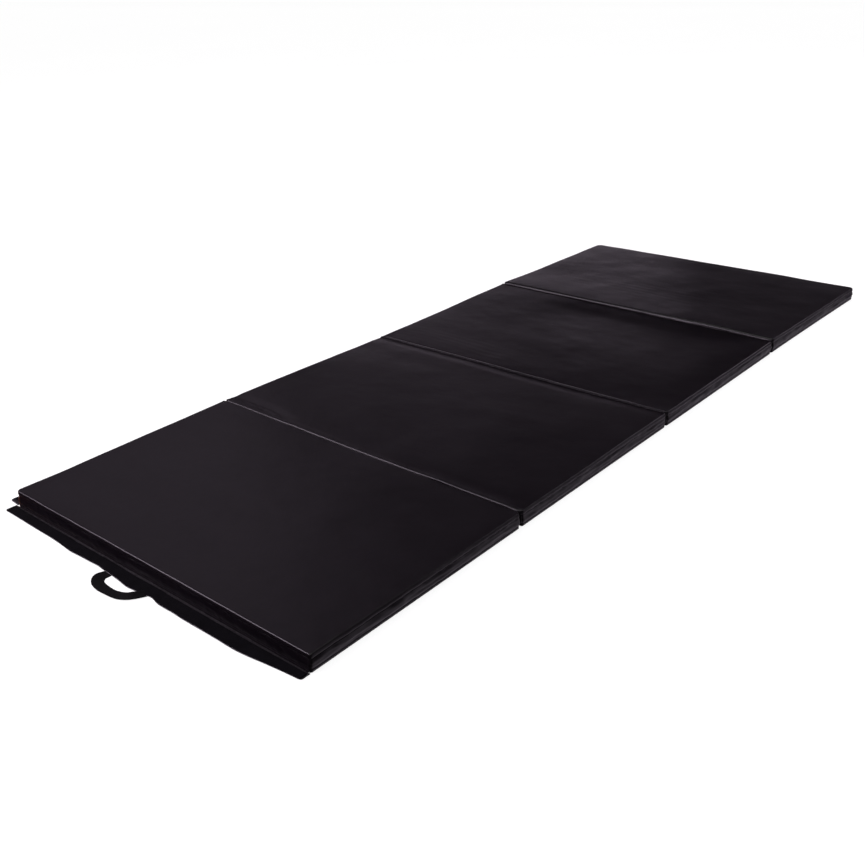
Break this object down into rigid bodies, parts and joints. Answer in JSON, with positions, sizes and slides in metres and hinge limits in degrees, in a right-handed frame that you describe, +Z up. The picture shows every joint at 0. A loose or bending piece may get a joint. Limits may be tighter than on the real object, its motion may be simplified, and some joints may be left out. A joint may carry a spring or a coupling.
{
  "type": "folding gym mat",
  "caption": "Folding exercise mat: padded vinyl-covered foam panels joined by cloth hinges, with hook-and-loop joining flaps and webbing carrying handles.",
  "frame": {"origin": "on the floor, at the centre of the whole object's box, with the joining flaps and the handles", "axes": "+Y along the mat from the end with the flap to the other end, +X across it to the right, +Z up"},
  "size_m": [1.2646, 3.236, 0.05],
  "materials": {
    "vinyl": "satin",
    "vinyl_gusset": "satin",
    "foam": "matte",
    "loop_tape": "matte",
    "hook_tape": "matte",
    "webbing": "matte"
  },
  "bodies": {
    "panel_1": {"panel_1_foam_core": "foam", "panel_1_top_skin": "vinyl", "panel_1_bottom_skin": "vinyl", "panel_1_right_gusset": "vinyl_gusset", "panel_1_far_gusset": "vinyl_gusset", "panel_1_left_gusset": "vinyl_gusset", "panel_1_near_gusset": "vinyl_gusset", "side_hook_strip_1": "hook_tape", "hinge_cloth_1_near": "vinyl", "near_handle_left_tab": "webbing", "near_handle_right_tab": "webbing"},
    "panel_2": {"panel_2_foam_core": "foam", "panel_2_top_skin": "vinyl", "panel_2_bottom_skin": "vinyl", "panel_2_right_gusset": "vinyl_gusset", "panel_2_far_gusset": "vinyl_gusset", "panel_2_left_gusset": "vinyl_gusset", "panel_2_near_gusset": "vinyl_gusset", "side_hook_strip_2": "hook_tape", "hinge_cloth_1_far": "vinyl", "hinge_cloth_2_near": "vinyl"},
    "panel_3": {"panel_3_foam_core": "foam", "panel_3_top_skin": "vinyl", "panel_3_bottom_skin": "vinyl", "panel_3_right_gusset": "vinyl_gusset", "panel_3_far_gusset": "vinyl_gusset", "panel_3_left_gusset": "vinyl_gusset", "panel_3_near_gusset": "vinyl_gusset", "side_hook_strip_3": "hook_tape", "hinge_cloth_2_far": "vinyl", "hinge_cloth_3_near": "vinyl"},
    "panel_4": {"panel_4_foam_core": "foam", "panel_4_top_skin": "vinyl", "panel_4_bottom_skin": "vinyl", "panel_4_right_gusset": "vinyl_gusset", "panel_4_far_gusset": "vinyl_gusset", "panel_4_left_gusset": "vinyl_gusset", "panel_4_near_gusset": "vinyl_gusset", "side_hook_strip_4": "hook_tape", "hinge_cloth_3_far": "vinyl", "end_hook_strip": "hook_tape", "far_handle_left_tab": "webbing", "far_handle_right_tab": "webbing"},
    "end_flap": {"end_flap_vinyl": "vinyl", "end_flap_loop_tape": "loop_tape"},
    "side_flap_1": {"side_flap_1_vinyl": "vinyl", "side_flap_1_loop_tape": "loop_tape"},
    "side_flap_2": {"side_flap_2_vinyl": "vinyl", "side_flap_2_loop_tape": "loop_tape"},
    "side_flap_3": {"side_flap_3_vinyl": "vinyl", "side_flap_3_loop_tape": "loop_tape"},
    "side_flap_4": {"side_flap_4_vinyl": "vinyl", "side_flap_4_loop_tape": "loop_tape"},
    "near_handle": {"near_handle_strap": "webbing"},
    "far_handle": {"far_handle_strap": "webbing"}
  },
  "joints": [
    {"name": "fold_1", "type": "hinge", "parent": "panel_2", "child": "panel_1", "pos_m": [0.02265, -0.7645, -0.0003], "axis": [1, 0, 0], "range_deg": [0, 180]},
    {"name": "fold_2", "type": "hinge", "parent": "panel_2", "child": "panel_3", "pos_m": [0.02265, 0, 0.0503], "axis": [1, 0, 0], "range_deg": [0, 180]},
    {"name": "fold_3", "type": "hinge", "parent": "panel_3", "child": "panel_4", "pos_m": [0.02265, 0.7645, -0.0003], "axis": [-1, 0, 0], "range_deg": [0, 180]},
    {"name": "end_flap_lift", "type": "hinge", "parent": "panel_1", "child": "end_flap", "pos_m": [0.02265, -1.524, 0.0053], "axis": [-1, 0, 0], "range_deg": [0, 90]},
    {"name": "side_flap_1_lift", "type": "hinge", "parent": "panel_1", "child": "side_flap_1", "pos_m": [-0.58695, -1.14675, 0.0033], "axis": [0, 1, 0], "range_deg": [0, 90]},
    {"name": "side_flap_2_lift", "type": "hinge", "parent": "panel_2", "child": "side_flap_2", "pos_m": [-0.58695, -0.38225, 0.0033], "axis": [0, 1, 0], "range_deg": [0, 90]},
    {"name": "side_flap_3_lift", "type": "hinge", "parent": "panel_3", "child": "side_flap_3", "pos_m": [-0.58695, 0.38225, 0.0033], "axis": [0, 1, 0], "range_deg": [0, 90]},
    {"name": "side_flap_4_lift", "type": "hinge", "parent": "panel_4", "child": "side_flap_4", "pos_m": [-0.58695, 1.14675, 0.0033], "axis": [0, 1, 0], "range_deg": [0, 90]},
    {"name": "near_handle_swing", "type": "hinge", "parent": "panel_1", "child": "near_handle", "pos_m": [0.02265, -1.5253, 0.001], "axis": [-1, 0, 0], "range_deg": [-90, 0]},
    {"name": "far_handle_swing", "type": "hinge", "parent": "panel_4", "child": "far_handle", "pos_m": [0.02265, 1.5253, 0.001], "axis": [1, 0, 0], "range_deg": [-90, 90]}
  ]
}
